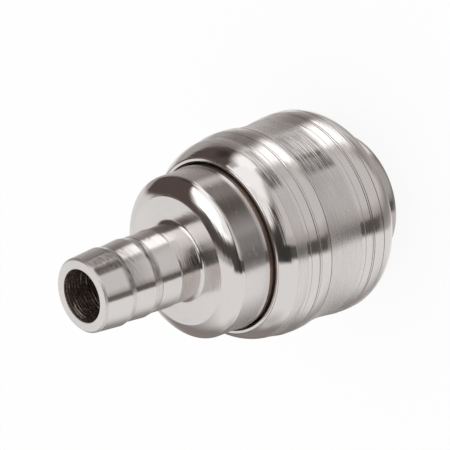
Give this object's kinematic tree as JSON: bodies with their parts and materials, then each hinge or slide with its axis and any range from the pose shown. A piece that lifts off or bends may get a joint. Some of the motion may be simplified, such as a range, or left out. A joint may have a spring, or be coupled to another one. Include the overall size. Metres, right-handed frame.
{
  "type": "air hose quick coupler",
  "caption": "Ball-lock quick coupler socket for compressed air with a spring-loaded sleeve, a shut-off valve and a barbed hose tail.",
  "frame": {"origin": "centre of the face of the mouth, on the coupler's axis, where it stands", "axes": "+Z along the coupler's axis, from the mouth up to the end of the hose tail; the first locking ball lies on +X"},
  "size_m": [0.025, 0.025, 0.0423],
  "materials": {
    "plated_tail": "turned and nickel plated",
    "plated_body": "turned and nickel plated",
    "plated_sleeve": "turned, polished and nickel plated",
    "spring_steel": "bright drawn spring steel",
    "ball_steel": "ground and polished bearing steel",
    "black_rubber": "matt moulded nitrile rubber",
    "brass_ring": "turned brass",
    "brass_valve": "turned brass"
  },
  "bodies": {
    "socket": {"hose_tail": "plated_tail", "coupler_body": "plated_body", "retaining_ring": "spring_steel", "sleeve_spring": "spring_steel", "plug_seal": "black_rubber", "seat_ring": "brass_ring", "valve_spring": "spring_steel", "body_gasket": "black_rubber"},
    "washer": {"thrust_washer": "spring_steel"},
    "sleeve": {"locking_sleeve": "plated_sleeve"},
    "ball_1": {"locking_ball_1": "ball_steel"},
    "ball_2": {"locking_ball_2": "ball_steel"},
    "ball_3": {"locking_ball_3": "ball_steel"},
    "ball_4": {"locking_ball_4": "ball_steel"},
    "ball_5": {"locking_ball_5": "ball_steel"},
    "ball_6": {"locking_ball_6": "ball_steel"},
    "ball_7": {"locking_ball_7": "ball_steel"},
    "ball_8": {"locking_ball_8": "ball_steel"},
    "valve": {"valve_poppet": "brass_valve", "valve_seal": "black_rubber"}
  },
  "joints": [
    {"name": "sleeve_slide", "type": "slide", "parent": "socket", "child": "washer", "axis": [0, 0, 1], "range_m": [0, 0.0035], "stiffness_N_per_m": 1200, "springref_m": -0.004, "deforming": ["sleeve_spring"]},
    {"name": "sleeve_spin", "type": "hinge", "parent": "washer", "child": "sleeve", "pos_m": [0, 0, 0.012], "axis": [0, 0, 1], "continuous": true},
    {"name": "valve_lift", "type": "slide", "parent": "socket", "child": "valve", "axis": [0, 0, 1], "range_m": [0, 0.002], "stiffness_N_per_m": 800, "springref_m": -0.003, "deforming": ["valve_spring"]},
    {"name": "ball_1_slide", "type": "slide", "parent": "socket", "child": "ball_1", "axis": [1, 0, 0], "range_m": [0, 0.00096]},
    {"name": "ball_2_slide", "type": "slide", "parent": "socket", "child": "ball_2", "axis": [0.7071, 0.7071, 0], "range_m": [0, 0.00096]},
    {"name": "ball_3_slide", "type": "slide", "parent": "socket", "child": "ball_3", "axis": [0, 1, 0], "range_m": [0, 0.00096]},
    {"name": "ball_4_slide", "type": "slide", "parent": "socket", "child": "ball_4", "axis": [-0.7071, 0.7071, 0], "range_m": [0, 0.00096]},
    {"name": "ball_5_slide", "type": "slide", "parent": "socket", "child": "ball_5", "axis": [-1, 0, 0], "range_m": [0, 0.00096]},
    {"name": "ball_6_slide", "type": "slide", "parent": "socket", "child": "ball_6", "axis": [-0.7071, -0.7071, 0], "range_m": [0, 0.00096]},
    {"name": "ball_7_slide", "type": "slide", "parent": "socket", "child": "ball_7", "axis": [0, -1, 0], "range_m": [0, 0.00096]},
    {"name": "ball_8_slide", "type": "slide", "parent": "socket", "child": "ball_8", "axis": [0.7071, -0.7071, 0], "range_m": [0, 0.00096]}
  ],
  "couplings": [
    {"joint": "ball_1_slide", "follows": "sleeve_slide", "ratio": 0.2728},
    {"joint": "ball_2_slide", "follows": "sleeve_slide", "ratio": 0.2728},
    {"joint": "ball_3_slide", "follows": "sleeve_slide", "ratio": 0.2728},
    {"joint": "ball_4_slide", "follows": "sleeve_slide", "ratio": 0.2728},
    {"joint": "ball_5_slide", "follows": "sleeve_slide", "ratio": 0.2728},
    {"joint": "ball_6_slide", "follows": "sleeve_slide", "ratio": 0.2728},
    {"joint": "ball_7_slide", "follows": "sleeve_slide", "ratio": 0.2728},
    {"joint": "ball_8_slide", "follows": "sleeve_slide", "ratio": 0.2728}
  ]
}
